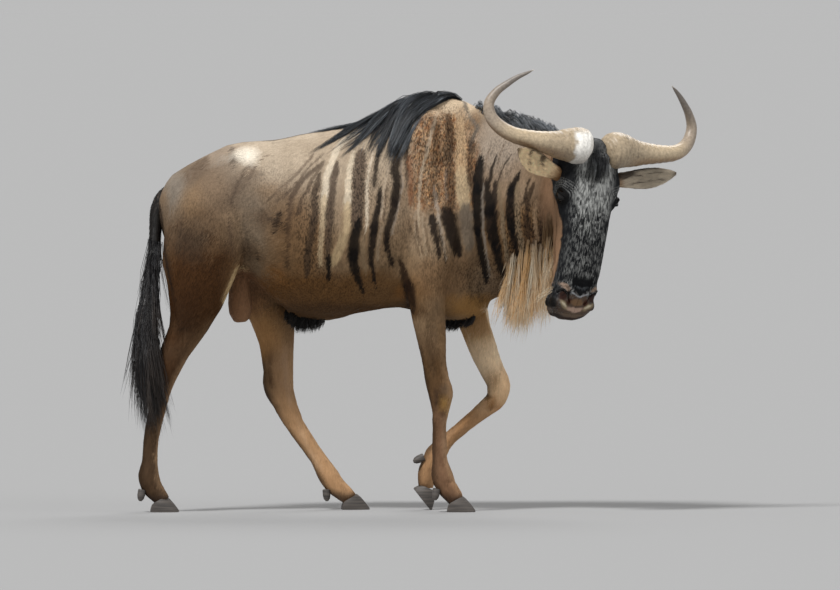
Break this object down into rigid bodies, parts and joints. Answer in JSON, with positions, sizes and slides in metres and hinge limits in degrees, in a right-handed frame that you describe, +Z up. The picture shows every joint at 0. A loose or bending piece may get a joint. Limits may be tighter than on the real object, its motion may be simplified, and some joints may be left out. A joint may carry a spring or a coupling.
{
  "type": "wildebeest",
  "caption": "Life-size still model of a walking blue wildebeest bull with its head turned to its right, with mane, beard, horns and tail tassel.",
  "frame": {"origin": "on the floor, under the middle of the model's bounding box", "axes": "+X towards the animal's front, +Y towards its left, +Z up; the head is turned towards -Y"},
  "size_m": [1.8079, 0.7057, 1.4165],
  "materials": {
    "coat": "short grey-brown hair with dark vertical stripes",
    "black_hair": "long coarse black hair",
    "pale_hair": "long straw-coloured beard hair",
    "horn": "smooth worn horn, grey-tan",
    "hoof": "dark grey hoof horn, satin",
    "eye": "wet dark brown eye",
    "skin": "bare skin of nose and lips"
  },
  "bodies": {
    "root": {"claw_foreleg_left_inner": "hoof", "claw_foreleg_left_outer": "hoof", "claw_foreleg_right_inner": "hoof", "claw_foreleg_right_outer": "hoof", "claw_hindleg_left_inner": "hoof", "claw_hindleg_left_outer": "hoof", "claw_hindleg_right_inner": "hoof", "claw_hindleg_right_outer": "hoof", "dewclaw_foreleg_left_inner": "hoof", "dewclaw_foreleg_left_outer": "hoof", "dewclaw_foreleg_right_inner": "hoof", "dewclaw_foreleg_right_outer": "hoof", "dewclaw_hindleg_left_inner": "hoof", "dewclaw_hindleg_left_outer": "hoof", "dewclaw_hindleg_right_inner": "hoof", "dewclaw_hindleg_right_outer": "hoof", "ear_left": "coat", "ear_right": "coat", "eye_left": "eye", "eye_right": "eye", "foreleg_left_lower": "coat", "foreleg_left_upper": "coat", "foreleg_right_lower": "coat", "foreleg_right_upper": "coat", "head": "coat", "hindleg_left_lower": "coat", "hindleg_left_upper": "coat", "hindleg_right_lower": "coat", "hindleg_right_upper": "coat", "horn_left": "horn", "horn_right": "horn", "neck": "coat", "scrotum": "coat", "tail": "black_hair", "torso": "coat"}
  },
  "joints": []
}
